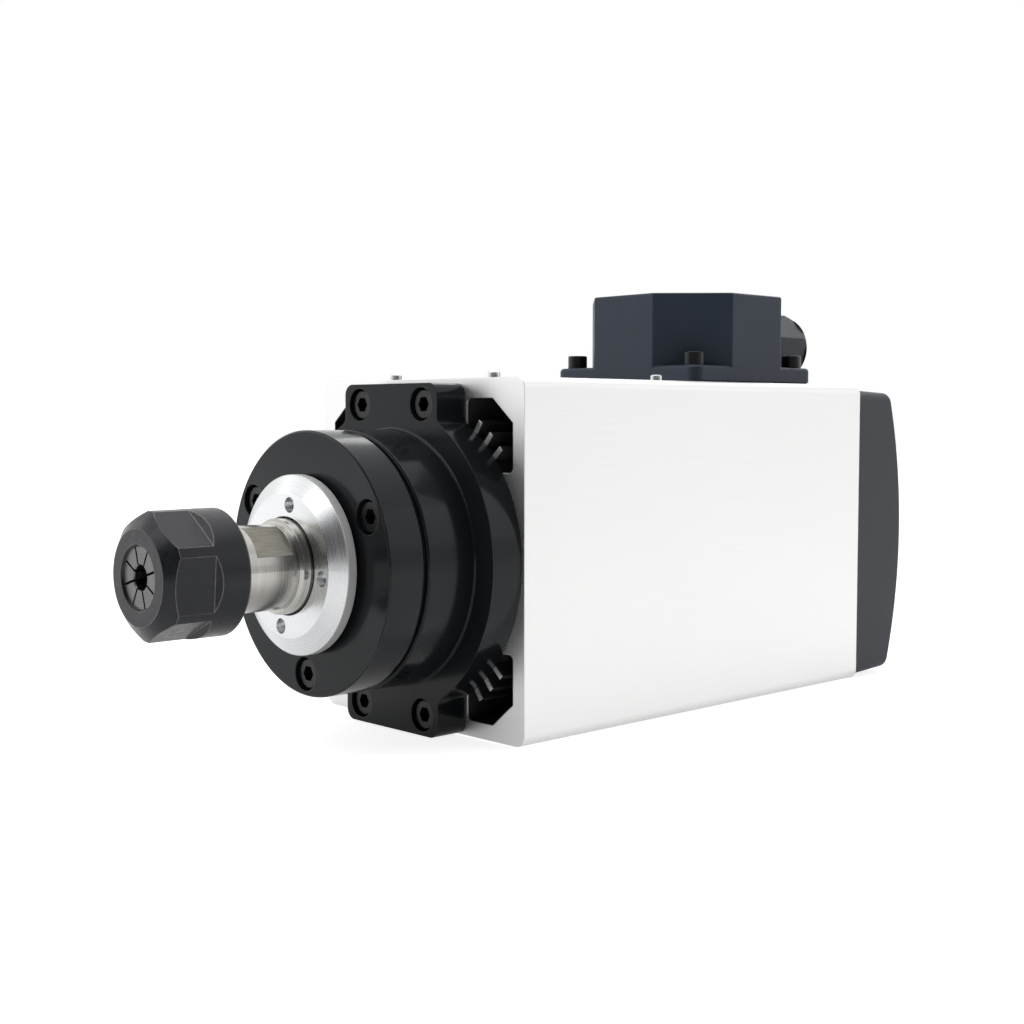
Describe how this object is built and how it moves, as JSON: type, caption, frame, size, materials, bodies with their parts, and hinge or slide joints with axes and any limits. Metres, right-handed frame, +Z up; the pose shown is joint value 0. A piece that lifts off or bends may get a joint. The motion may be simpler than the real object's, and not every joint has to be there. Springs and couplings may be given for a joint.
{
  "type": "motor spindle",
  "caption": "Air-cooled square motor spindle with a collet nose, front flange with ears, corner air ducts, top terminal box with cable gland and a rear fan hood.",
  "frame": {"origin": "centre of the four base bolts, in the housing's bottom face", "axes": "+Z up through the terminal box, -Y out of the collet nose, +Y towards the fan, +X across"},
  "size_m": [0.138, 0.4387, 0.2006],
  "materials": {
    "machined_aluminium": "brushed on the sides, milled on the ends",
    "black_paint": "gloss black",
    "black_oxide_steel": "black oxide",
    "turned_steel": "fine turned",
    "ground_steel": "ground",
    "dark_hardened_steel": "satin, blackened",
    "bearing_steel": "polished",
    "cage_resin": "matte",
    "laminated_steel": "stacked sheets",
    "enamelled_copper": "varnished",
    "cast_aluminium": "cast",
    "spring_steel": "satin",
    "fan_plastic": "moulded",
    "slate_plastic": "moulded, satin",
    "black_rubber": "matte",
    "terminal_resin": "moulded",
    "terminal_brass": "bright"
  },
  "bodies": {
    "stator": {"housing": "machined_aluminium", "front_flange": "black_paint", "flange_screws": "black_oxide_steel", "front_cover": "black_paint", "front_cover_screws": "black_oxide_steel", "front_bearing_outer_rings": "bearing_steel", "front_outer_spacer": "turned_steel", "rear_bearing_outer_ring": "bearing_steel", "stator_core": "laminated_steel", "stator_windings": "enamelled_copper", "rear_bell": "cast_aluminium", "rear_bell_screws": "black_oxide_steel", "wave_spring": "spring_steel", "fan_hood": "slate_plastic", "fan_hood_screws": "black_oxide_steel", "terminal_box": "slate_plastic", "terminal_box_gasket": "black_rubber", "terminal_box_screws": "black_oxide_steel", "terminal_box_washers": "black_oxide_steel", "terminal_block": "terminal_resin", "terminal_studs": "terminal_brass", "gland_body": "slate_plastic", "gland_seal_washer": "black_rubber", "gland_locknut": "slate_plastic", "housing_top_screws": "turned_steel"},
    "rotor": {"spindle_shaft": "ground_steel", "labyrinth_nut": "turned_steel", "front_bearing_inner_rings": "bearing_steel", "front_inner_spacer": "turned_steel", "rear_bearing_inner_ring": "bearing_steel", "rotor_core": "laminated_steel", "rotor_end_rings": "cast_aluminium", "rear_locknut": "turned_steel", "fan": "fan_plastic", "fan_circlip": "spring_steel"},
    "front_ball_train": {"front_bearing_balls": "bearing_steel", "front_bearing_cages": "cage_resin"},
    "rear_ball_train": {"rear_bearing_balls": "bearing_steel", "rear_bearing_cage": "cage_resin"},
    "clamped_collet": {"collet": "ground_steel"},
    "nut": {"collet_nut": "dark_hardened_steel", "extractor_ring": "ground_steel"},
    "cable_seal": {"gland_seal": "black_rubber"},
    "gland_nut": {"gland_cap": "slate_plastic"}
  },
  "joints": [
    {"name": "rotor_spin", "type": "hinge", "parent": "stator", "child": "rotor", "pos_m": [0, 0, 0.077], "axis": [0, 1, 0], "continuous": true},
    {"name": "front_ball_orbit", "type": "hinge", "parent": "stator", "child": "front_ball_train", "pos_m": [0, -0.143, 0.077], "axis": [0, 1, 0], "continuous": true},
    {"name": "rear_ball_orbit", "type": "hinge", "parent": "stator", "child": "rear_ball_train", "pos_m": [0, 0.1105, 0.077], "axis": [0, 1, 0], "continuous": true},
    {"name": "collet_slide", "type": "slide", "parent": "rotor", "child": "clamped_collet", "axis": [0, -1, 0], "range_m": [0, 0.003]},
    {"name": "nut_turn", "type": "hinge", "parent": "clamped_collet", "child": "nut", "pos_m": [0, -0.242, 0.077], "axis": [0, -1, 0], "range_deg": [0, 720]},
    {"name": "seal_slide", "type": "slide", "parent": "stator", "child": "cable_seal", "axis": [0, 1, 0], "range_m": [0, 0.003]},
    {"name": "gland_cap_turn", "type": "hinge", "parent": "cable_seal", "child": "gland_nut", "pos_m": [0, 0.133, 0.1776], "axis": [0, 1, 0], "range_deg": [0, 720]}
  ],
  "couplings": [
    {"joint": "front_ball_orbit", "follows": "rotor_spin", "ratio": 0.426},
    {"joint": "rear_ball_orbit", "follows": "rotor_spin", "ratio": 0.416},
    {"joint": "collet_slide", "follows": "nut_turn", "m_per_rad": 0.00023873},
    {"joint": "seal_slide", "follows": "gland_cap_turn", "m_per_rad": 0.00023873}
  ]
}
